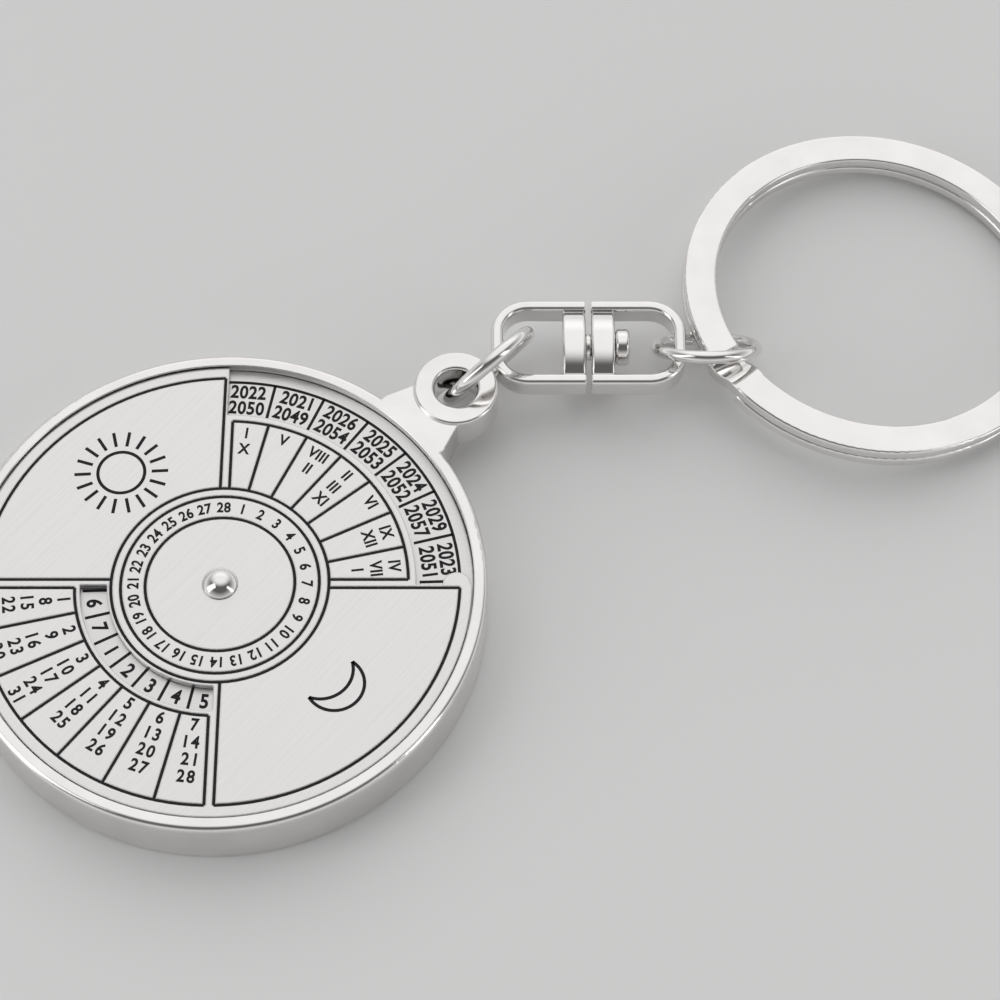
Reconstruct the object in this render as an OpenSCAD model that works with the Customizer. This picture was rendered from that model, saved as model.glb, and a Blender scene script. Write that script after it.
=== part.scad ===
// Perpetual calendar keyring: a round case with a turning dial, a swivel chain and a split key ring.
// Millimetres, +Z up. The origin is on the centre of the case's back, on the surface that it lies on.
// The dial's spokes lie along X and Y, and the chain runs towards +X.

/* [Case] */
// Outer diameter of the case
case_d = 41.5; // [38:0.5:46]
// Height of the case from its back to the top of the rim
case_h = 5.2; // [4.8:0.1:6.4]
// Width of the rim around the dial
rim_w = 1.05; // [1:0.05:1.6]
// How far the rim stands above the dial
rim_lip = 0.2; // [0.1:0.05:0.6]
// Radius of the rounded edges of the rim and the foot
edge_r = 0.45; // [0.2:0.05:0.5]
// Thickness of the case floor under the dial
floor_t = 1.2; // [0.8:0.05:1.4]
// Thickness of the cover that closes the back
cover_t = 0.6; // [0.4:0.05:0.8]
// Radius of the back cover's rounded edges
cover_edge_r = 0.12; // [0.05:0.01:0.18]
// Width of the ring of case around the back cover
foot_w = 2.5; // [1.8:0.1:4]
// Width of the step that the back cover sits on
step_w = 0.8; // [0.5:0.05:1.2]

/* [Lug] */
// Direction of the lug from the case centre, in degrees
lug_angle = 44; // [30:1:60]
// Distance of the lug hole's centre beyond the case edge
lug_reach = 4.5; // [4.2:0.1:6]
// Outer diameter of the lug
lug_d = 6.8; // [6.4:0.1:7.6]
// Diameter of the lug hole
lug_hole_d = 3.5; // [3.5:0.05:4.4]
// Height of the lug
lug_h = 3.3; // [2.8:0.05:3.6]
// How far the lug's top stands above the rim
lug_rise = 0.2; // [0:0.05:0.4]
// Radius of the rounded mouth of the lug hole
lug_mouth_r = 0.3; // [0.2:0.05:0.6]
// Radius of the lug's rounded outer edges
lug_edge_r = 0.25; // [0.1:0.05:0.5]
// Width of the neck where it meets the case
neck_w = 6.8; // [5.6:0.1:9]
// Width of the neck where it meets the lug
neck_tip_w = 5.2; // [4.4:0.1:6]
// Length over which the neck narrows, from the case edge
neck_l = 2.2; // [1.6:0.1:3]
// How far the neck runs into the rim
neck_root = 0.65; // [0.3:0.05:0.7]

/* [Dial] */
// Thickness of the dial
dial_t = 0.5; // [0.4:0.05:0.8]
// Radial gap between the dial and the rim
dial_play = 0.15; // [0.1:0.05:0.4]
// Height of the air gap between the dial and the index plate
dial_air = 0.12; // [0.08:0.02:0.3]
// Thickness of the index plate
index_t = 0.5; // [0.4:0.05:0.8]
// Inner radius of the open notch that shows the years
notch_r = 15.2; // [14.9:0.1:16]
// Inner radius of the arc window that shows the weekdays
window_in_r = 8.75; // [8.7:0.05:9.2]
// Outer radius of the arc window that shows the weekdays
window_out_r = 10.85; // [10.4:0.05:11]
// How far the notch and the window leave their spokes
notch_reach = 0.1; // [0.05:0.05:0.25]
// Radius of the rounded finger tab
tab_r = 1.1; // [0.8:0.05:1.3]
// Distance of the finger tab from the dial's edge
tab_in = 0.1; // [0.05:0.05:0.3]
// Width of an engraved line
line_w = 0.24; // [0.15:0.01:0.35]
// Depth of an engraved line
line_depth = 0.1; // [0.05:0.01:0.2]
// Distance of a border line from the spoke that it runs along
spoke_gap = 0.36; // [0.3:0.02:0.6]
// Radius of the inner engraved circle
centre_r1 = 5.8; // [4:0.1:6.6]
// Radius of the middle engraved circle
centre_r2 = 7.7; // [7:0.1:7.8]
// Radius of the outer engraved circle
centre_r3 = 8.45; // [8.2:0.05:8.5]
// Radius of the line between the weekday window and the dates
dates_in_r = 11.25; // [11.2:0.05:12]
// Radius of the line around the months
months_out_r = 14.6; // [13.4:0.1:14.7]
// Distance of the outer border lines from the dial's edge
border_gap = 0.95; // [0.6:0.05:1.4]

/* [Rivet] */
// Diameter of the rivet's shank
shank_d = 1.8; // [1.4:0.1:2.2]
// Diameter of the rivet's domed head
head_d = 2.8; // [2.6:0.1:4]
// Height of the rivet's domed head
head_h = 0.75; // [0.5:0.05:1.1]
// Diameter of the rivet's closed tail
tail_d = 3; // [2.6:0.1:4]
// Height of the rivet's closed tail
tail_h = 0.5; // [0.3:0.05:0.6]
// Outer diameter of the washer under the tail
rivet_washer_d = 4.6; // [4.2:0.1:8]
// Thickness of the washer under the tail
rivet_washer_t = 0.4; // [0.2:0.05:0.5]
// Outer diameter of the dished spring washer under the dial
spring_d = 8; // [6:0.2:12]
// Thickness of the dished spring washer
spring_t = 0.12; // [0.08:0.01:0.16]
// Radial gap between the spring washer and the rivet's shank
spring_play = 0.25; // [0.15:0.05:0.5]
// Depth of the spring washer's pocket in the index plate
pocket_depth = 0.25; // [0.2:0.01:0.3]
// Radial gap between the spring washer and its pocket
pocket_play = 0.3; // [0.2:0.05:0.6]

/* [Links] */
// Wire diameter of the link through the lug
link_wire = 1.2; // [1:0.05:1.3]
// Room inside the lug link beyond the lug's height
link_room = 3.7; // [3.5:0.1:4.8]
// How far the lug link leans from upright, in degrees
link_lean = 21; // [15:1:25]
// How far the lug link's wire sits inside the lug hole's centre
link_seat = 0.45; // [0.3:0.05:0.6]
// Place of the cut around the lug link, in degrees
lug_link_cut = 40; // [0:5:355]
// Wire diameter of the link through the split ring
tail_wire = 1.05; // [0.9:0.05:1.2]
// Inner diameter of the link through the split ring
tail_inner_d = 7; // [6.8:0.1:7.6]
// Angle of the ring link's plane from level, in degrees
tail_slope = 47; // [44:1:60]
// Distance of the ring link's centre beyond the middle of the outer frame's bow
tail_seat = 2.2; // [1.9:0.05:2.5]
// How far the ring link's centre lies below the swivel's axis
tail_drop = 0.05; // [0:0.05:0.3]
// Place of the cut around the ring link, in degrees
ring_link_cut = 95; // [0:5:355]
// Width of the cut where a link's wire ends meet
link_cut = 0.12; // [0.05:0.01:0.3]

/* [Swivel] */
// Outer length of a swivel frame
frame_l = 7.7; // [7:0.1:9]
// Outer width of a swivel frame
frame_w = 8; // [7.4:0.1:9]
// Thickness of a swivel frame's strip
frame_t = 1; // [0.8:0.05:1.1]
// Height of a swivel frame's strip
frame_h = 2.1; // [1.8:0.05:2.3]
// Radius of the strip's rounded edges
frame_edge_r = 0.38; // [0.2:0.02:0.39]
// Outer radius of a swivel frame's two round corners
frame_corner_r = 3; // [1.8:0.1:3.2]
// Thickness of a swivel frame's straight bar
frame_bar_t = 1.9; // [1.4:0.1:2.4]
// Height of the bar at its middle
frame_bar_h = 3.1; // [2.6:0.1:3.4]
// How far the bar's top and bottom fall from its middle to the strip
frame_bar_fall = 0.9; // [0.6:0.05:0.95]
// Radius of the bar's rounded edges
frame_bar_edge_r = 0.25; // [0.1:0.05:0.4]
// Sideways distance of the swivel's axis from where the bow crosses the lug link
bow_side = 1.5; // [1:0.1:1.8]
// How far the swivel's axis lies below the lug link's centre
frame_drop = 0.55; // [0.3:0.05:0.8]
// Gap between the two swivel frames
frame_gap = 0.45; // [0.3:0.05:0.8]
// Diameter of the swivel pin
pin_d = 1.4; // [1:0.05:1.5]
// Diameter of the pin's head
pin_head_d = 3; // [2.2:0.1:3.6]
// Thickness of the pin's head
pin_head_t = 1.15; // [0.6:0.05:1.4]
// Radius of the rounded edges of the pin's head
pin_edge_r = 0.3; // [0.1:0.05:0.4]
// Diameter of the pin's shoulder between the frames
pin_shoulder_d = 2.2; // [1.8:0.1:3]

/* [Split ring] */
// Outer diameter of the split ring
ring_d = 32; // [28:1:36]
// Width of the flat wire
ring_wire_w = 2.7; // [2.2:0.1:2.9]
// Thickness of the flat wire
ring_wire_t = 0.95; // [0.7:0.05:1]
// Radius of the flat wire's rounded edges
ring_edge_r = 0.2; // [0.05:0.01:0.3]
// Gap between the two turns
turn_gap = 0.08; // [0.05:0.01:0.15]
// Direction of the split ring from the link that holds it, in degrees
ring_angle = 24; // [10:1:40]
// Length of the bend where the wire crosses to the other turn
bend_l = 2.6; // [2.2:0.1:5]
// Gap between a wire end and the bend
end_gap = 0.4; // [0.3:0.05:1]
// Angle along the ring from the link to the bend, in degrees
bend_angle = 11; // [4:1:60]
// Length by which the bend runs on into each turn
bend_lap = 0.4; // [0.2:0.05:0.8]
// How far the wire's middle lies below the ring link's centre
ring_drop = 0.05; // [0:0.05:0.3]

/* [Clearances] */
// Radial running clearance on a pin or rivet
run_gap = 0.05; // [0.02:0.01:0.1]
// Clearance of a piece that is dropped into a recess
seat_gap = 0.05; // [0.02:0.01:0.15]
// Axial clearance of a piece that turns
axial_gap = 0.04; // [0.02:0.01:0.1]
// Clear distance between the lug and the swivel frame's bow
bow_gap = 0.5; // [0.3:0.02:0.7]
// Clear distance between a swivel frame's bow and the split ring
ring_gap = 1.1; // [0.9:0.05:1.3]

/* [Hidden] */
$fn = 144;
// Small overlap that lets a cut run past the face it opens
over = 0.5;

// Heights of the stack inside the case, from the rim down
dial_top = case_h - rim_lip;
dial_z = dial_top - dial_t;
index_top = dial_z - dial_air;
index_z = index_top - index_t;
floor_z = index_z - floor_t;

// Radii of the case and the pieces in it
case_r = case_d / 2;
well_r = case_r - rim_w;
dial_r = well_r - dial_play;
index_r = well_r - seat_gap;
cover_r = case_r - foot_w;
border_r = dial_r - border_gap;

// Quarter of the dial, and the columns that share it
quarter = 90;
columns = 7;
column_angle = quarter / columns;
months_start = 0;
sun_start = quarter;
dates_start = 2 * quarter;
moon_start = 3 * quarter;

// Lug
lug_r = lug_d / 2;
lug_hole_r = lug_hole_d / 2;
lug_x = case_r + lug_reach;
lug_top = case_h + lug_rise;
lug_z = lug_top - lug_h;
neck_tip_x = case_r + neck_l;
neck_root_x = case_r - neck_root;
lug_dir = [cos(lug_angle), sin(lug_angle), 0];
lug_at = lug_x * lug_dir;

// Spring washer: its pocket in the index plate, and its rise to the dial
spring_r = spring_d / 2;
spring_in_r = shank_d / 2 + spring_play;
pocket_r = spring_r + pocket_play;
spring_rise = pocket_depth + dial_air - spring_t - axial_gap / 2;

// Lug link: it stands on the surface, leaning, with its wire through the lug hole
link_r = (lug_h + link_room + link_wire) / 2;
link_z = link_r * cos(link_lean) + link_wire / 2;
link_at = lug_at + (link_r - link_seat) * lug_dir + [0, 0, link_z];

// Swivel: the inner frame's bow crosses the lug link's plane at the lug's far side
bow_rho = lug_r + bow_gap + frame_t / 2 / cos(lug_angle);
bow_at = lug_at + bow_rho * lug_dir;
swivel_y = bow_at[1] + bow_side;
swivel_z = link_z - frame_drop;
inner_x = bow_at[0] - frame_t / 2;
bar_end_x = inner_x + frame_l;
outer_x = bar_end_x + frame_gap;
tip_x = outer_x + frame_l;

// Ring link: it holds the outer frame's bow on one side and the split ring on the other
tail_r = (tail_inner_d + tail_wire) / 2;
tail_at = [tip_x - frame_t / 2 + tail_seat, swivel_y, swivel_z - tail_drop];

// Split ring: two turns of flat wire, tilted so that its far edge lies on the surface
ring_r = ring_d / 2;
ring_in_r = ring_r - ring_wire_w;
ring_mid_r = ring_r - ring_wire_w / 2;
turn_pitch = ring_wire_t + turn_gap;
ring_h = turn_pitch + ring_wire_t;
hold_x = tip_x + ring_gap + ring_wire_w / 2 / cos(ring_angle);
hold_at = [hold_x, swivel_y, tail_at[2] - ring_drop];
far_l = ring_mid_r + ring_r;
bend_steps = 12;
ring_tilt = asin(hold_at[2] / norm([far_l, ring_h / 2])) - atan2(ring_h / 2, far_l);
ring_flat_r = ring_mid_r * cos(ring_tilt);
ring_at = hold_at + [
    ring_flat_r * cos(ring_angle), ring_flat_r * sin(ring_angle), -ring_mid_r * sin(ring_tilt)
];

nickel = [0.80, 0.79, 0.78];
satin = [0.74, 0.73, 0.72];
steel = [0.62, 0.62, 0.63];

// Outline of a round body with both outer edges rounded, for turning about Z
module rounded_outline(r, h, e) {
    square([r - e, h]);
    translate([0, e]) square([r, h - 2 * e]);
    translate([r - e, e]) circle(e);
    translate([r - e, h - e]) circle(e);
}

// Section of a flat strip with rounded edges, its middle at x
module strip_section(x, w, h, e) {
    translate([x - w / 2 + e, -h / 2]) square([w - 2 * e, h]);
    translate([x - w / 2, -h / 2 + e]) square([w, h - 2 * e]);
    for (i = [-1, 1], j = [-1, 1]) {
        translate([x + i * (w / 2 - e), j * (h / 2 - e)]) circle(e);
    }
}

// Cut that rounds the mouth of a hole of radius r, down from z = 0
module mouth_cut(r, e) {
    translate([0, 0, -e]) difference() {
        cylinder(r = r + e, h = e + over);
        rotate_extrude() translate([r + e, 0]) circle(e);
    }
}

// Ring of square section from radius r1 to r2, over part of a turn from angle a
module arc_band(r1, r2, h, a = 0, sweep = 360) {
    rotate([0, 0, a]) rotate_extrude(angle = sweep) translate([r1, 0]) square([r2 - r1, h]);
}

// Quarter of a ring whose straight ends run beside the spokes at the given distance
module quarter_band(r1, r2, h, start, gap) {
    rotate([0, 0, start]) intersection() {
        difference() {
            cylinder(r = r2, h = h);
            translate([0, 0, -over]) cylinder(r = r1, h = h + 2 * over);
        }
        translate([gap, gap, -over]) cube([2 * r2, 2 * r2, h + 2 * over]);
    }
}

module lug_hole() {
    translate([0, 0, lug_z - over]) cylinder(r = lug_hole_r, h = lug_h + 2 * over);
    translate([0, 0, lug_top]) mouth_cut(lug_hole_r, lug_mouth_r);
    translate([0, 0, lug_z]) mirror([0, 0, 1]) mouth_cut(lug_hole_r, lug_mouth_r);
}

module lug_and_neck() {
    rotate([0, 0, lug_angle]) {
        translate([lug_x, 0, lug_z]) rotate_extrude() rounded_outline(lug_r, lug_h, lug_edge_r);
        translate([0, 0, lug_z]) linear_extrude(case_h - lug_z) polygon([
            [neck_root_x, -neck_w / 2], [case_r, -neck_w / 2], [neck_tip_x, -neck_tip_w / 2],
            [lug_x, -neck_tip_w / 2], [lug_x, neck_tip_w / 2], [neck_tip_x, neck_tip_w / 2],
            [case_r, neck_w / 2], [neck_root_x, neck_w / 2]
        ]);
    }
}

// Cast case: rim, floor, hollow back, neck and lug
module case_shell() {
    color(nickel) difference() {
        union() {
            rotate_extrude() rounded_outline(case_r, case_h, edge_r);
            lug_and_neck();
        }
        translate([0, 0, index_z]) cylinder(r = well_r, h = case_h);
        translate([0, 0, -over]) cylinder(r = cover_r, h = over + cover_t);
        cylinder(r = cover_r - step_w, h = floor_z);
        cylinder(r = shank_d / 2, h = case_h);
        rotate([0, 0, lug_angle]) translate([lug_x, 0, 0]) lug_hole();
    }
}

// Plain disc that closes the hollow back
module back_cover() {
    color(nickel) rotate_extrude() rounded_outline(cover_r - seat_gap, cover_t, cover_edge_r);
}

// Plate that carries the rings of years and weekdays, with a pocket for the spring washer
module index_plate() {
    color(satin) translate([0, 0, index_z]) difference() {
        cylinder(r = index_r, h = index_t);
        translate([0, 0, -over]) cylinder(r = shank_d / 2 + run_gap, h = index_t + 2 * over);
        translate([0, 0, index_t - pocket_depth]) cylinder(r = pocket_r, h = pocket_depth + over);
    }
}

// Straight engraved line along a spoke direction, from radius r1 to r2
module line_cut(a, r1, r2, offset_y = 0) {
    rotate([0, 0, a]) translate([r1, offset_y - line_w / 2, 0]) cube([r2 - r1, line_w, line_depth + over]);
}

module arc_cut(r, a, sweep) {
    arc_band(r - line_w / 2, r + line_w / 2, line_depth + over, a, sweep);
}

// Angle by which a line at the border distance has left its spoke at radius r
function gap_angle(r) = asin(spoke_gap / r);

// Arc of a quarter's border, between the lines beside the spokes
module border_arc(start, r) {
    arc_cut(r, start + gap_angle(r), quarter - 2 * gap_angle(r));
}

// Border of a quarter: two lines beside the spokes, joined by an outer arc
module quarter_border(start, r1, r2) {
    border_arc(start, r2);
    line_cut(start, r1 * cos(gap_angle(r1)), r2 * cos(gap_angle(r2)), spoke_gap);
    line_cut(start + quarter, r1 * cos(gap_angle(r1)), r2 * cos(gap_angle(r2)), -spoke_gap);
}

module column_lines(start, r1, r2) {
    for (i = [1 : columns - 1]) {
        line_cut(start + i * column_angle, r1, r2);
    }
}

module dial_engraving() {
    for (r = [centre_r1, centre_r2, centre_r3]) {
        arc_cut(r, 0, 360);
    }
    quarter_border(months_start, centre_r3, months_out_r);
    column_lines(months_start, centre_r3, months_out_r);
    quarter_border(sun_start, centre_r3, border_r);
    border_arc(dates_start, dates_in_r);
    quarter_border(dates_start, dates_in_r, border_r);
    column_lines(dates_start, dates_in_r, border_r);
    quarter_border(moon_start, centre_r3, border_r);
}

// Turning dial: open notch for the years, arc window for the weekdays, finger tab, engraved borders
module dial_plate() {
    color(satin) translate([0, 0, dial_z]) difference() {
        union() {
            difference() {
                cylinder(r = dial_r, h = dial_t);
                translate([0, 0, -over])
                    quarter_band(notch_r, dial_r + over, dial_t + 2 * over, months_start, -notch_reach);
            }
            translate([dial_r - tab_r - tab_in, -notch_reach, 0]) cylinder(r = tab_r, h = dial_t);
        }
        translate([0, 0, -over]) cylinder(r = shank_d / 2 + run_gap, h = dial_t + 2 * over);
        translate([0, 0, -over])
            quarter_band(window_in_r, window_out_r, dial_t + 2 * over, dates_start, notch_reach);
        translate([0, 0, dial_t - line_depth]) dial_engraving();
    }
}

// Dished spring washer between the index plate and the dial
module friction_washer() {
    color(steel) translate([0, 0, index_top - pocket_depth]) rotate_extrude() polygon([
        [spring_in_r, spring_rise], [spring_r, 0],
        [spring_r, spring_t], [spring_in_r, spring_rise + spring_t]
    ]);
}

// Rivet with a domed head over the dial and a closed tail behind the case floor
module centre_rivet() {
    head_z = dial_top + axial_gap;
    dome_r = (pow(head_d / 2, 2) + pow(head_h, 2)) / (2 * head_h);
    tail_z = floor_z - rivet_washer_t - tail_h;
    color(nickel) {
        translate([0, 0, tail_z]) cylinder(r = shank_d / 2, h = head_z - tail_z + head_h / 2);
        translate([0, 0, tail_z]) cylinder(r = tail_d / 2, h = tail_h);
        intersection() {
            translate([0, 0, head_z + head_h - dome_r]) sphere(dome_r);
            translate([0, 0, head_z]) cylinder(r = head_d, h = 2 * head_h);
        }
    }
}

// Flat washer under the rivet's closed tail
module rivet_washer() {
    color(steel) translate([0, 0, floor_z - rivet_washer_t]) difference() {
        cylinder(r = rivet_washer_d / 2, h = rivet_washer_t);
        translate([0, 0, -over]) cylinder(r = shank_d / 2, h = rivet_washer_t + 2 * over);
    }
}

// Ring of round wire in the XY plane with a thin cut at angle a
module wire_ring(r, wire, a) {
    cut = 2 * asin(link_cut / 2 / r);
    rotate([0, 0, a + cut / 2]) rotate_extrude(angle = 360 - cut) translate([r, 0]) circle(wire / 2);
}

// Link through the lug hole
module lug_link() {
    color(nickel) translate(link_at) rotate([0, 0, lug_angle]) rotate([90 + link_lean, 0, 0])
        wire_ring(link_r, link_wire, lug_link_cut);
}

// Strip bent to a bow at x = 0, with two straight arms to x = frame_l
module frame_strip() {
    corner_y = frame_w / 2 - frame_corner_r;
    for (side = [0, 1]) mirror([0, side, 0]) {
        translate([frame_corner_r, (frame_w - frame_t) / 2, 0]) rotate([90, 0, 90])
            linear_extrude(frame_l - frame_corner_r) strip_section(0, frame_t, frame_h, frame_edge_r);
        translate([frame_corner_r, corner_y, 0]) rotate([0, 0, 90]) rotate_extrude(angle = 90)
            strip_section(frame_corner_r - frame_t / 2, frame_t, frame_h, frame_edge_r);
    }
    translate([frame_t / 2, corner_y, 0]) rotate([90, 0, 0])
        linear_extrude(2 * corner_y) strip_section(0, frame_t, frame_h, frame_edge_r);
}

// Barrel bar between the arms: two round discs across it give it its top and its bottom
module frame_bar() {
    half_w = frame_w / 2 - frame_t;
    reach = half_w + frame_t / 2;
    r = (pow(half_w, 2) + pow(frame_bar_fall, 2)) / (2 * frame_bar_fall);
    intersection() {
        translate([-over, -reach, -frame_bar_h]) cube([frame_bar_t + 2 * over, 2 * reach, 2 * frame_bar_h]);
        intersection_for (side = [-1, 1]) {
            translate([0, 0, side * (r - frame_bar_h / 2)]) rotate([0, 90, 0]) rotate_extrude()
                rounded_outline(r, frame_bar_t, frame_bar_edge_r);
        }
    }
}

// Swivel frame with its bow at x = 0 and its bar at the far end, drilled along X
module swivel_frame(bore_d) {
    bar_x = frame_l - frame_bar_t;
    difference() {
        union() {
            frame_strip();
            translate([bar_x, 0, 0]) frame_bar();
        }
        translate([bar_x - over, 0, 0]) rotate([0, 90, 0]) cylinder(d = bore_d, h = frame_bar_t + 2 * over);
    }
}

// Frame on the case side, holding the pin
module swivel_frame_inner() {
    color(nickel) translate([inner_x, swivel_y, swivel_z]) swivel_frame(pin_d);
}

// Pin fixed in the inner frame, with a shoulder between the frames and a head inside the outer one
module swivel_pin() {
    head_x = outer_x + frame_bar_t + axial_gap;
    color(nickel) translate([0, swivel_y, swivel_z]) rotate([0, 90, 0]) {
        translate([0, 0, bar_end_x - frame_bar_t])
            cylinder(d = pin_d, h = head_x - bar_end_x + frame_bar_t);
        translate([0, 0, bar_end_x]) cylinder(d = pin_shoulder_d, h = frame_gap - axial_gap);
        translate([0, 0, head_x]) rotate_extrude() rounded_outline(pin_head_d / 2, pin_head_t, pin_edge_r);
    }
}

// Frame on the ring side, turning on the pin
module swivel_frame_outer() {
    color(nickel) translate([tip_x, swivel_y, swivel_z]) rotate([0, 0, 180])
        swivel_frame(pin_d + 2 * run_gap);
}

// Link between the swivel and the split ring
module ring_link() {
    color(nickel) translate(tail_at) rotate([-tail_slope, 0, 0])
        wire_ring(tail_r, tail_wire, ring_link_cut);
}

// One turn of the split ring, opened between two planes beside the bend
module ring_turn(z, from_s, to_s) {
    translate([0, 0, z]) difference() {
        translate([0, 0, ring_wire_t / 2]) rotate_extrude()
            strip_section(ring_mid_r, ring_wire_w, ring_wire_t, ring_edge_r);
        translate([0, from_s, -over]) cube([2 * ring_r, to_s - from_s, ring_wire_t + 2 * over]);
    }
}

// Height of the bend's underside at a share t of its length
function bend_rise(t) = turn_pitch * (1 - cos(180 * t)) / 2;

// Curved wire between the turns, from the low turn at -Y to the high turn at +Y
module ring_bend() {
    half = bend_l / 2;
    reach = half + bend_lap;
    intersection() {
        difference() {
            cylinder(r = ring_r, h = ring_h);
            translate([0, 0, -over]) cylinder(r = ring_in_r, h = ring_h + 2 * over);
        }
        rotate([90, 0, 90]) linear_extrude(2 * ring_r) polygon(concat(
            [[-reach, 0]],
            [for (i = [0 : bend_steps]) [bend_l * i / bend_steps - half, bend_rise(i / bend_steps)]],
            [[reach, turn_pitch], [reach, ring_h]],
            [for (i = [0 : bend_steps]) [
                half - bend_l * i / bend_steps, bend_rise(1 - i / bend_steps) + ring_wire_t
            ]],
            [[-reach, ring_wire_t]]
        ));
    }
}

// Split ring of two turns, with one end beside each side of the bend
module split_ring() {
    half = bend_l / 2;
    color(nickel) translate(ring_at) rotate([0, ring_tilt, ring_angle]) translate([0, 0, -ring_h / 2])
        rotate([0, 0, 180 + bend_angle]) {
            ring_turn(0, -half, half + end_gap);
            ring_turn(turn_pitch, -half - end_gap, half);
            ring_bend();
        }
}

case_shell();
back_cover();
index_plate();
dial_plate();
friction_washer();
centre_rivet();
rivet_washer();
lug_link();
swivel_frame_inner();
swivel_pin();
swivel_frame_outer();
ring_link();
split_ring();
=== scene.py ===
import calendar
import math

import bmesh
import bpy
from mathutils import Matrix, Vector


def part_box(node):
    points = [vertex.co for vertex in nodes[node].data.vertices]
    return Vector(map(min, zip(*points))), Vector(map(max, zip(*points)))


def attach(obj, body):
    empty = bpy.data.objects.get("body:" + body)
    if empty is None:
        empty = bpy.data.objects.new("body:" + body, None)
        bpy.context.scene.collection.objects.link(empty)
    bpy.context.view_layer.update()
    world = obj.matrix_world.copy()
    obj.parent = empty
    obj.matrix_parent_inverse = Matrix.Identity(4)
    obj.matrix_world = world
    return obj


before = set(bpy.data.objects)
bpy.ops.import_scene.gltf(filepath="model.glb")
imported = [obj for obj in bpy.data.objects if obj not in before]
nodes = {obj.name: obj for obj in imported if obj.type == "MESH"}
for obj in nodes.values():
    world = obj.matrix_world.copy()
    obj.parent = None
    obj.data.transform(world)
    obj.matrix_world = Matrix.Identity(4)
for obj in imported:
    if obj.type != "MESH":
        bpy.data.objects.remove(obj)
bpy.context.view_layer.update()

# Lengths are in metres and angles in radians, unless a name or comment says otherwise
MM = 0.001
FULL_TURN = 2 * math.pi
QUARTER = FULL_TURN / 4
DIAL_CENTRE = Vector((0, 0))

# Sizes that the dial's solids also have
LINE_W = 0.24 * MM
LINE_DEPTH = 0.1 * MM
CENTRE_RADII = (5.8 * MM, 7.7 * MM)
MONTHS_OUT_R = 14.6 * MM
NOTCH_R = 15.2 * MM
WINDOW_IN_R = 8.75 * MM
WINDOW_OUT_R = 10.85 * MM
DATES_IN_R = 11.25 * MM
BORDER_GAP = 0.95 * MM

# Levels of the two marked faces and the dial's radius, read from the solids
DIAL_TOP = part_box("dial_plate")[1].z
INDEX_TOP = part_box("index_plate")[1].z
DIAL_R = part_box("dial_plate")[1].y

# Printed marks start just under a face and end just above it, and the fill ends just under it
MARK_SINK = 0.01 * MM
MARK_RISE = 0.015 * MM
FILL_DROP = 0.015 * MM

# Tolerances for finding the floors of the dial's grooves
WELD = 0.001 * MM
SAME_LEVEL = 0.005 * MM
FACING_UP = 0.9

# Widths and spacing of the numbers, as shares of the font's own, and how much bolder they are
GLYPH_WIDTH = 0.88
YEAR_WIDTH = 0.84
GLYPH_SPACING = 1.06
DATE_SPACING = 1.25
GLYPH_BOLD = 0.03
GLYPH_STEPS = 4

# Heights of the numbers
YEAR_H = 1.24 * MM
WEEKDAY_H = 1.25 * MM
MONTH_H = 1.0 * MM
DATE_H = 1.06 * MM
SCALE_H = 0.92 * MM

# Places of the rows of numbers, and the gaps at the ends of the index plate's lines
YEAR_ROW_R = 17.72 * MM
YEAR_PITCH = 1.46 * MM
MONTH_INSET = 1.0 * MM
MONTH_PITCH = 1.45 * MM
DATE_INSET = 0.82 * MM
DATE_PITCH = 1.42 * MM
YEAR_LINE_GAP = 0.25 * MM
WEEKDAY_LINE_GAP = 0.15 * MM

# Layout of the calendar: a quarter of the dial has seven columns
COLUMNS = 7
SECTORS = 4
CELLS = SECTORS * COLUMNS
COLUMN_ANGLE = QUARTER / COLUMNS
INDEX_TURN = math.radians(1.7)
YEARS = range(2021, 2071)
COMMON_YEAR = 2023
LEAP_YEAR = 2024
DAYS = 31
ROMAN = ("I", "II", "III", "IV", "V", "VI", "VII", "VIII", "IX", "X", "XI", "XII")

# Weekday that shows at the first column of dates at rest, counted from Monday as 0
FIRST_WEEKDAY = 5

# Sun and moon on the dial
FIGURE_STROKE = 0.26 * MM
SUN_AT = Vector((-8.25, 9.9)) * MM
SUN_R = 1.85 * MM
SUN_RAYS = 18
FIRST_RAY = math.radians(3)
RAY_IN_R = 2.4 * MM
RAY_OUT_R = 3.7 * MM
MOON_CHORD_AT = Vector((8.8, -8.2)) * MM
MOON_HALF_CHORD = 2.2 * MM
MOON_FACING = math.radians(-47)
MOON_BULGES = (2.75 * MM, 1.35 * MM)

# Curved lines are drawn in steps of about this angle, and in no fewer than this many
ARC_STEP = math.radians(2)
MIN_ARC_STEPS = 6

# Metal: softness of its edges, the range that most of the noise lies in, and how its lines run
EDGE_SOFTNESS = 0.22 * MM
EDGE_SAMPLES = 8
NOISE_LOW = 0.3
NOISE_HIGH = 0.7
SCRATCH_TURN = math.radians(35)
BRUSH_TURN = math.radians(50)

# Floor
FLOOR_SIZE = 3.0
FLOOR_DROP = 0.02 * MM
FLOOR_COLOUR = (0.86, 0.86, 0.86, 1)
FLOOR_ROUGHNESS = 0.6

# World: light strengths, the heights between which they change, and the bright patch in degrees
WORLD_TINT = (1, 0.995, 0.99, 1)
HORIZON_LIGHT = 0.95
ZENITH_LIGHT = 0.13
HORIZON_HEIGHT = 0.05
ZENITH_HEIGHT = 0.7
PATCH_LIGHT = 0.93
PATCH_AZIMUTH = 180
PATCH_ELEVATION = 57
PATCH_CORE = 18
PATCH_EDGE = 52

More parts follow.
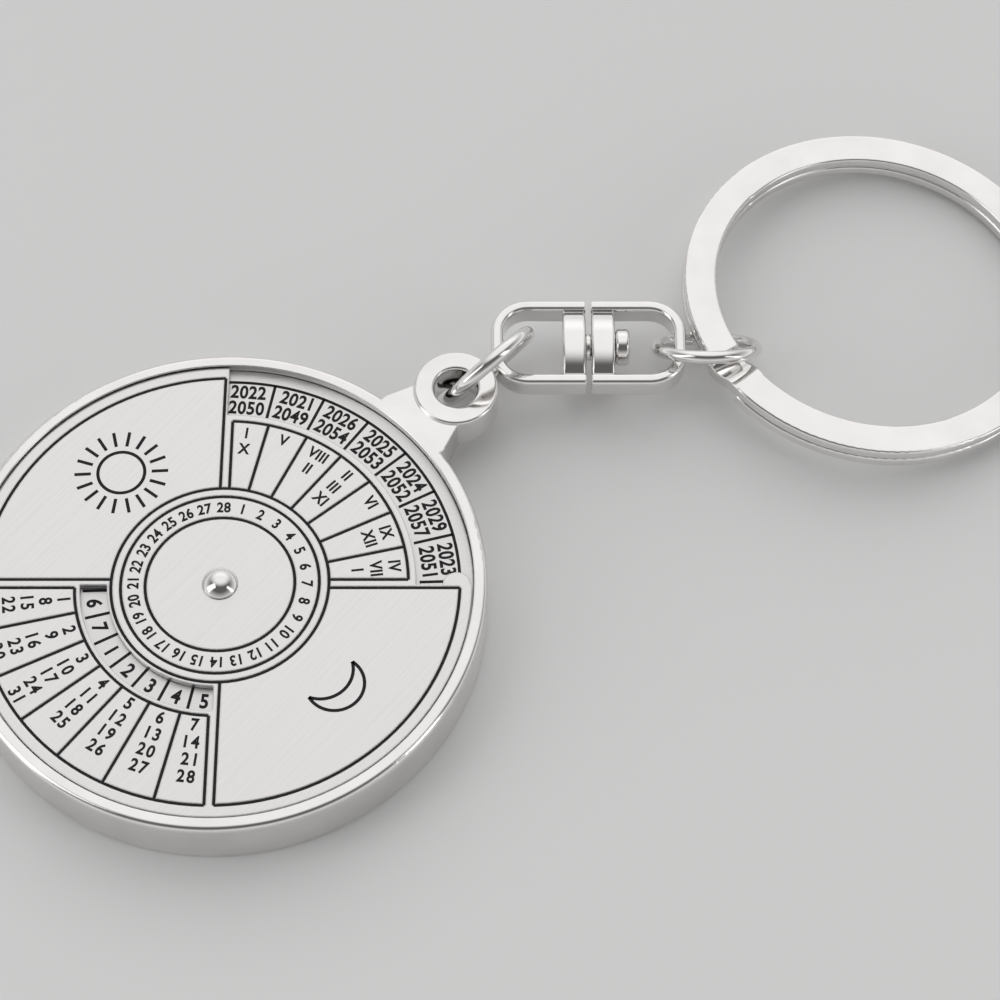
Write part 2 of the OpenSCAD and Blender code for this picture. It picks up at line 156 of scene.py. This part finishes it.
# Camera: its elevation is in degrees, its sensor in millimetres
AIM = Vector((21.7, 8.8, 2.5)) * MM
CAMERA_ELEVATION = 61
CAMERA_DISTANCE = 239 * MM
CAMERA_CLIP_START = 5 * MM
SENSOR = 36.0
FOCAL_PIXELS = 3001
IMAGE_PIXELS = 1000


def link(obj):
    """Puts a new object into the scene."""
    bpy.context.scene.collection.objects.link(obj)
    return obj


def piece(name, bm, material, body):
    """Turns a bmesh into an object of that material that moves with a CAD body."""
    mesh = bpy.data.meshes.new(name)
    bmesh.ops.recalc_face_normals(bm, faces=bm.faces)
    bm.to_mesh(mesh)
    bm.free()
    mesh.materials.append(material)
    obj = link(bpy.data.objects.new(name, mesh))
    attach(obj, body)


# Materials


def shader_of(name):
    """A new material, its node tree and its Principled shader."""
    material = bpy.data.materials.new(name)
    material.use_nodes = True
    tree = material.node_tree
    return material, tree, tree.nodes["Principled BSDF"]


def noise(tree, scale, detail, stretch=(1, 1, 1), turn=0.0):
    """Noise over the object's own place, stretched along axes that are turned about Z."""
    place = tree.nodes.new("ShaderNodeTexCoord")
    mapping = tree.nodes.new("ShaderNodeMapping")
    mapping.vector_type = "TEXTURE"
    mapping.inputs["Rotation"].default_value = (0, 0, turn)
    mapping.inputs["Scale"].default_value = stretch
    texture = tree.nodes.new("ShaderNodeTexNoise")
    texture.inputs["Scale"].default_value = scale
    texture.inputs["Detail"].default_value = detail
    tree.links.new(place.outputs["Object"], mapping.inputs["Vector"])
    tree.links.new(mapping.outputs["Vector"], texture.inputs["Vector"])
    return texture.outputs["Fac"]


def map_range(tree, value, near, far, at_near, at_far, smooth=False):
    """Maps a value between two ends, evenly or with soft ends."""
    node = tree.nodes.new("ShaderNodeMapRange")
    node.interpolation_type = "SMOOTHSTEP" if smooth else "LINEAR"
    node.inputs["From Min"].default_value = near
    node.inputs["From Max"].default_value = far
    node.inputs["To Min"].default_value = at_near
    node.inputs["To Max"].default_value = at_far
    tree.links.new(value, node.inputs["Value"])
    return node.outputs["Result"]


def spread(tree, value, low, high):
    """Maps noise from its usual middle range to low and high."""
    return map_range(tree, value, NOISE_LOW, NOISE_HIGH, low, high)


def tint(tree, value, dark, light):
    """Colour between two tints, by noise."""
    ramp = tree.nodes.new("ShaderNodeValToRGB")
    first, last = ramp.color_ramp.elements
    first.position = NOISE_LOW
    first.color = (*dark, 1)
    last.position = NOISE_HIGH
    last.color = (*light, 1)
    tree.links.new(value, ramp.inputs["Fac"])
    return ramp.outputs["Color"]


def soft_edges(tree):
    """Normals that turn softly around the metal's edges."""
    node = tree.nodes.new("ShaderNodeBevel")
    node.samples = EDGE_SAMPLES
    node.inputs["Radius"].default_value = EDGE_SOFTNESS
    return node.outputs["Normal"]


def bump(tree, shader, value, strength, height):
    """Bumps the soft-edged surface by noise, by that height at most."""
    node = tree.nodes.new("ShaderNodeBump")
    node.inputs["Strength"].default_value = strength
    node.inputs["Distance"].default_value = height
    tree.links.new(value, node.inputs["Height"])
    tree.links.new(soft_edges(tree), node.inputs["Normal"])
    tree.links.new(node.outputs["Normal"], shader.inputs["Normal"])


def polished_metal(name, dark, light, smooth, worn):
    """Nickel plate: mirror bright, with a faint cloudiness and hairline handling scratches."""
    material, tree, shader = shader_of(name)
    shader.inputs["Metallic"].default_value = 1.0
    clouds = noise(tree, scale=260, detail=3)
    scratches = noise(tree, scale=5200, detail=2, stretch=(14, 1, 14), turn=SCRATCH_TURN)
    tree.links.new(tint(tree, clouds, dark, light), shader.inputs["Base Color"])
    tree.links.new(spread(tree, clouds, smooth, worn), shader.inputs["Roughness"])
    bump(tree, shader, scratches, strength=0.05, height=0.004 * MM)
    return material


def brushed_metal(name, dark, light, turn=0.0):
    """Satin plate: fine straight brush lines that run in one direction."""
    material, tree, shader = shader_of(name)
    shader.inputs["Metallic"].default_value = 1.0
    lines = noise(tree, scale=6000, detail=4, stretch=(45, 1, 45), turn=turn)
    tree.links.new(tint(tree, lines, dark, light), shader.inputs["Base Color"])
    tree.links.new(spread(tree, lines, low=0.34, high=0.46), shader.inputs["Roughness"])
    bump(tree, shader, lines, strength=0.22, height=0.01 * MM)
    return material


def enamel(name, dark, light):
    """Black fill of the marks, slightly uneven and with little gloss."""
    material, tree, shader = shader_of(name)
    uneven = noise(tree, scale=2400, detail=2)
    tree.links.new(tint(tree, uneven, dark, light), shader.inputs["Base Color"])
    tree.links.new(spread(tree, uneven, low=0.45, high=0.65), shader.inputs["Roughness"])
    shader.inputs["Specular IOR Level"].default_value = 0.2
    return material


nickel = polished_metal(
    "polished_nickel", dark=(0.76, 0.745, 0.735), light=(0.82, 0.81, 0.80), smooth=0.06, worn=0.12)
chain_nickel = polished_metal(
    "chain_nickel", dark=(0.77, 0.755, 0.745), light=(0.83, 0.82, 0.81), smooth=0.05, worn=0.1)
dial_metal = brushed_metal(
    "dial_satin", dark=(0.72, 0.71, 0.705), light=(0.81, 0.80, 0.795), turn=BRUSH_TURN)
index_metal = brushed_metal("index_satin", dark=(0.69, 0.68, 0.675), light=(0.77, 0.76, 0.755))
spring_steel = brushed_metal("spring_steel", dark=(0.50, 0.50, 0.51), light=(0.60, 0.60, 0.61))
black = enamel("black_enamel", dark=(0.008, 0.008, 0.009), light=(0.02, 0.02, 0.022))

NODE_MATERIALS = {
    "case_shell": nickel,
    "back_cover": nickel,
    "index_plate": index_metal,
    "dial_plate": dial_metal,
    "friction_washer": spring_steel,
    "centre_rivet": chain_nickel,
    "rivet_washer": spring_steel,
    "lug_link": chain_nickel,
    "swivel_frame_inner": chain_nickel,
    "swivel_pin": chain_nickel,
    "swivel_frame_outer": chain_nickel,
    "ring_link": chain_nickel,
    "split_ring": chain_nickel,
}
for node_name, node_material in NODE_MATERIALS.items():
    slots = nodes[node_name].data.materials
    slots.clear()
    slots.append(node_material)


# Flat marks


def add_prism(bm, outline, low, high):
    """A closed prism over a convex outline of (x, y) points, between two heights."""
    bottom = [bm.verts.new((x, y, low)) for x, y in outline]
    top = [bm.verts.new((x, y, high)) for x, y in outline]
    bm.faces.new(bottom[::-1])
    bm.faces.new(top)
    for i in range(len(outline)):
        j = (i + 1) % len(outline)
        bm.faces.new((bottom[i], bottom[j], top[j], top[i]))


def add_arc(bm, centre, radius, start, end, width, low, high):
    """A curved line of that width about a centre, as one closed band."""
    steps = max(MIN_ARC_STEPS, round((end - start) / ARC_STEP))
    closed = end - start >= FULL_TURN
    sections = []
    for i in range(steps if closed else steps + 1):
        angle = start + (end - start) * i / steps
        way = Vector((math.cos(angle), math.sin(angle)))
        inner = centre + way * (radius - width / 2)
        outer = centre + way * (radius + width / 2)
        corners = ((*inner, low), (*outer, low), (*outer, high), (*inner, high))
        sections.append([bm.verts.new(corner) for corner in corners])
    for i in range(len(sections) if closed else len(sections) - 1):
        this, following = sections[i], sections[(i + 1) % len(sections)]
        for k in range(4):
            n = (k + 1) % 4
            bm.faces.new((this[k], this[n], following[n], following[k]))
    if not closed:
        bm.faces.new(sections[0])
        bm.faces.new(sections[-1][::-1])


def add_ray(bm, centre, angle, inner, outer, width, low, high):
    """A straight line that points away from a centre, between two distances from it."""
    way = Vector((math.cos(angle), math.sin(angle)))
    side = Vector((-way.y, way.x)) * (width / 2)
    near = centre + way * inner
    far = centre + way * outer
    add_prism(bm, (near - side, far - side, far + side, near + side), low, high)


def glyph_mesh(text, spacing):
    """Bold text of Blender's own font as a centred mesh one unit thick, and its size."""
    curve = bpy.data.curves.new("glyph", "FONT")
    curve.body = text
    curve.offset = GLYPH_BOLD
    curve.extrude = 0.5
    curve.resolution_u = GLYPH_STEPS
    curve.space_character = spacing
    holder = link(bpy.data.objects.new("glyph", curve))
    depsgraph = bpy.context.evaluated_depsgraph_get()
    mesh = bpy.data.meshes.new_from_object(holder.evaluated_get(depsgraph))
    bpy.data.objects.remove(holder)
    bpy.data.curves.remove(curve)
    low = Vector(min(v.co[k] for v in mesh.vertices) for k in range(3))
    high = Vector(max(v.co[k] for v in mesh.vertices) for k in range(3))
    mesh.transform(Matrix.Translation(-(low + high) / 2))
    return mesh, high - low


full_glyph, full_size = glyph_mesh("8", GLYPH_SPACING)
bpy.data.meshes.remove(full_glyph)


def add_text(
    bm, text, height, radius, angle, top_z, tops_out=True, width=GLYPH_WIDTH, spacing=GLYPH_SPACING
):
    """Text on a plate's face, at a radius and angle, with its top away from the centre or to it."""
    mesh, _ = glyph_mesh(text, spacing)
    scale = height / full_size.y
    thick = MARK_SINK + MARK_RISE
    turn = angle - QUARTER if tops_out else angle + QUARTER
    middle = (radius * math.cos(angle), radius * math.sin(angle), top_z - MARK_SINK + thick / 2)
    mesh.transform(Matrix.Diagonal((scale * width, scale, thick, 1)))
    mesh.transform(Matrix.Translation(middle) @ Matrix.Rotation(turn, 4, "Z"))
    bm.from_mesh(mesh)
    bpy.data.meshes.remove(mesh)


def groove_fill():
    """Black fill of the dial's engraved lines: the floors of its grooves, raised almost to its face."""
    floor_z = DIAL_TOP - LINE_DEPTH
    bm = bmesh.new()
    bm.from_mesh(nodes["dial_plate"].data)
    bmesh.ops.remove_doubles(bm, verts=bm.verts, dist=WELD)
    other_faces = [
        f for f in bm.faces
        if f.normal.z < FACING_UP or any(abs(v.co.z - floor_z) > SAME_LEVEL for v in f.verts)
    ]
    bmesh.ops.delete(bm, geom=other_faces, context="FACES")
    raised = bmesh.ops.extrude_face_region(bm, geom=bm.faces[:], use_keep_orig=True)["geom"]
    tops = [item for item in raised if isinstance(item, bmesh.types.BMVert)]
    rise = Vector((0, 0, LINE_DEPTH - FILL_DROP))
    bmesh.ops.translate(bm, verts=tops, vec=rise)
    piece("dial_line_fill", bm, black, "dial")


# Calendar numbers, worked out from the date


def weekday_shift(year, month):
    """How many weekdays after the year's first day the month begins."""
    return (calendar.weekday(year, month, 1) - calendar.weekday(year, 1, 1)) % COLUMNS


def month_columns():
    """Months of each column, by weekday shift, with January and February of leap years added."""
    columns = [[] for _ in range(COLUMNS)]
    for month, name in enumerate(ROMAN, start=1):
        columns[weekday_shift(COMMON_YEAR, month)].append(name)
    # A leap year's cell serves its months from March on, so its first two lie a column back
    for month in (1, 2):
        columns[(weekday_shift(LEAP_YEAR, month) - 1) % COLUMNS].append(ROMAN[month - 1])
    return columns


def year_cells():
    """Years of each cell around the index plate, one or two to a cell."""
    cells = [[] for _ in range(CELLS)]
    for weekday in range(COLUMNS):
        years = [
            y for y in YEARS
            if (calendar.weekday(y, 1, 1) + calendar.isleap(y)) % COLUMNS == weekday
        ]
        # At rest a year lies over the months that begin on FIRST_WEEKDAY, and cells run
        # anticlockwise where columns run clockwise
        cell = (weekday + COLUMNS - 1 - FIRST_WEEKDAY) % COLUMNS
        for i, year in enumerate(years):
            cells[cell + COLUMNS * (i % SECTORS)].append(year)
    return cells


def index_marks():
    """Years and weekday numbers on the plate under the dial, with the lines between them."""
    years, weekdays, lines = bmesh.new(), bmesh.new(), bmesh.new()
    low, high = INDEX_TOP - MARK_SINK, INDEX_TOP + MARK_RISE
    year_line_r = (NOTCH_R + YEAR_LINE_GAP, DIAL_R - BORDER_GAP)
    weekday_line_r = (WINDOW_IN_R, WINDOW_OUT_R - WEEKDAY_LINE_GAP)
    weekday_r = (WINDOW_IN_R + WINDOW_OUT_R) / 2
    for cell, in_cell in enumerate(year_cells()):
        angle = (cell + 0.5) * COLUMN_ANGLE + INDEX_TURN
        for row, year in enumerate(in_cell):
            radius = YEAR_ROW_R - YEAR_PITCH * row
            add_text(years, str(year), YEAR_H, radius, angle, INDEX_TOP, width=YEAR_WIDTH)
        weekday = (cell + FIRST_WEEKDAY) % COLUMNS + 1
        add_text(weekdays, str(weekday), WEEKDAY_H, weekday_r, angle, INDEX_TOP, tops_out=False)
        edge = cell * COLUMN_ANGLE + INDEX_TURN
        add_ray(lines, DIAL_CENTRE, edge, *year_line_r, LINE_W, low, high)
        add_ray(lines, DIAL_CENTRE, edge, *weekday_line_r, LINE_W, low, high)
    add_arc(lines, DIAL_CENTRE, DIAL_R - BORDER_GAP, 0, FULL_TURN, LINE_W, low, high)
    piece("year_numbers", years, black, "case")
    piece("weekday_numbers", weekdays, black, "case")
    piece("index_lines", lines, black, "case")


def dial_marks():
    """Months, dates and plain numbers on the dial."""
    months, dates, scale = bmesh.new(), bmesh.new(), bmesh.new()
    for column, in_column in enumerate(month_columns()):
        angle = QUARTER - (column + 0.5) * COLUMN_ANGLE
        for row, month in enumerate(in_column):
            radius = MONTHS_OUT_R - MONTH_INSET - MONTH_PITCH * row
            add_text(months, month, MONTH_H, radius, angle, DIAL_TOP)
    for day in range(DAYS):
        row, column = divmod(day, COLUMNS)
        angle = math.pi + (column + 0.5) * COLUMN_ANGLE
        radius = DATES_IN_R + DATE_INSET + DATE_PITCH * row
        add_text(
            dates, str(day + 1), DATE_H, radius, angle, DIAL_TOP,
            tops_out=False, spacing=DATE_SPACING)
    for number in range(1, CELLS + 1):
        angle = QUARTER - number * FULL_TURN / CELLS
        add_text(scale, str(number), SCALE_H, sum(CENTRE_RADII) / 2, angle, DIAL_TOP)
    piece("month_numbers", months, black, "dial")
    piece("date_numbers", dates, black, "dial")
    piece("scale_numbers", scale, black, "dial")


def sun_and_moon():
    """Outline sun with straight rays, and outline crescent."""
    low, high = DIAL_TOP - MARK_SINK, DIAL_TOP + MARK_RISE
    sun, moon = bmesh.new(), bmesh.new()
    add_arc(sun, SUN_AT, SUN_R, 0, FULL_TURN, FIGURE_STROKE, low, high)
    for i in range(SUN_RAYS):
        angle = FIRST_RAY + FULL_TURN * i / SUN_RAYS
        add_ray(sun, SUN_AT, angle, RAY_IN_R, RAY_OUT_R, FIGURE_STROKE, low, high)
    facing = Vector((math.cos(MOON_FACING), math.sin(MOON_FACING)))
    for bulge in MOON_BULGES:
        radius = (MOON_HALF_CHORD ** 2 + bulge ** 2) / (2 * bulge)
        centre = MOON_CHORD_AT + facing * (bulge - radius)
        sweep = math.atan2(MOON_HALF_CHORD, radius - bulge)
        start, end = MOON_FACING - sweep, MOON_FACING + sweep
        add_arc(moon, centre, radius, start, end, FIGURE_STROKE, low, high)
    piece("sun_mark", sun, black, "dial")
    piece("moon_mark", moon, black, "dial")


groove_fill()
index_marks()
dial_marks()
sun_and_moon()


# Stage, light and camera


def pale_floor():
    """A large plain floor just under the object."""
    half = FLOOR_SIZE / 2
    corners = [(-half, -half, 0), (half, -half, 0), (half, half, 0), (-half, half, 0)]
    mesh = bpy.data.meshes.new("floor")
    mesh.from_pydata(corners, [], [(0, 1, 2, 3)])
    material, _, shader = shader_of("floor_pale")
    shader.inputs["Base Color"].default_value = FLOOR_COLOUR
    shader.inputs["Roughness"].default_value = FLOOR_ROUGHNESS
    mesh.materials.append(material)
    floor = link(bpy.data.objects.new("floor", mesh))
    floor.location.z = -FLOOR_DROP


def direction(azimuth, elevation):
    """Unit vector away from the object, by degrees: azimuth 0 is the camera's side, 180 the far side."""
    a, e = math.radians(azimuth), math.radians(elevation)
    return Vector((math.sin(a) * math.cos(e), -math.cos(a) * math.cos(e), math.sin(e)))


def face_object(obj, azimuth, elevation, distance):
    """Places a lamp or the camera on that side of the object, at that distance, facing it."""
    away = direction(azimuth, elevation)
    obj.location = AIM + away * distance
    obj.rotation_euler = (-away).to_track_quat("-Z", "Y").to_euler()


def studio_world():
    """Pale at the horizon and dark overhead, with a soft bright patch high up behind the object."""
    world = bpy.data.worlds.new("studio")
    world.use_nodes = True
    tree = world.node_tree
    place = tree.nodes.new("ShaderNodeTexCoord")
    split = tree.nodes.new("ShaderNodeSeparateXYZ")
    towards = tree.nodes.new("ShaderNodeVectorMath")
    towards.operation = "DOT_PRODUCT"
    towards.inputs[1].default_value = direction(PATCH_AZIMUTH, PATCH_ELEVATION)
    total = tree.nodes.new("ShaderNodeMath")
    total.operation = "ADD"
    tree.links.new(place.outputs["Generated"], split.inputs["Vector"])
    tree.links.new(place.outputs["Generated"], towards.inputs[0])
    sky = map_range(
        tree, split.outputs["Z"], HORIZON_HEIGHT, ZENITH_HEIGHT, HORIZON_LIGHT, ZENITH_LIGHT)
    edge, core = math.cos(math.radians(PATCH_EDGE)), math.cos(math.radians(PATCH_CORE))
    patch = map_range(tree, towards.outputs["Value"], edge, core, 0, PATCH_LIGHT, smooth=True)
    tree.links.new(sky, total.inputs[0])
    tree.links.new(patch, total.inputs[1])
    background = tree.nodes["Background"]
    background.inputs["Color"].default_value = WORLD_TINT
    tree.links.new(total.outputs["Value"], background.inputs["Strength"])
    bpy.context.scene.world = world


def softbox(name, azimuth, elevation, distance, width, height, radiance):
    """A rectangular area light that faces the object, as bright as its radiance says in a mirror."""
    data = bpy.data.lights.new(name, "AREA")
    data.shape = "RECTANGLE"
    data.size = width
    data.size_y = height
    data.energy = radiance * math.pi * width * height
    face_object(link(bpy.data.objects.new(name, data)), azimuth, elevation, distance)


def photo_camera():
    """The photograph's camera, which looks along +Y from high up, close to the object."""
    data = bpy.data.cameras.new("camera")
    data.sensor_width = SENSOR
    data.lens = SENSOR * FOCAL_PIXELS / IMAGE_PIXELS
    data.clip_start = CAMERA_CLIP_START
    camera = link(bpy.data.objects.new("camera", data))
    face_object(camera, 0, CAMERA_ELEVATION, CAMERA_DISTANCE)
    bpy.context.scene.camera = camera


pale_floor()
studio_world()
softbox("left", azimuth=-75, elevation=38, distance=0.45, width=0.2, height=0.4, radiance=1.2)
softbox("right", azimuth=70, elevation=30, distance=0.5, width=0.12, height=0.4, radiance=1.2)
photo_camera()
bpy.context.scene.view_settings.view_transform = "Standard"
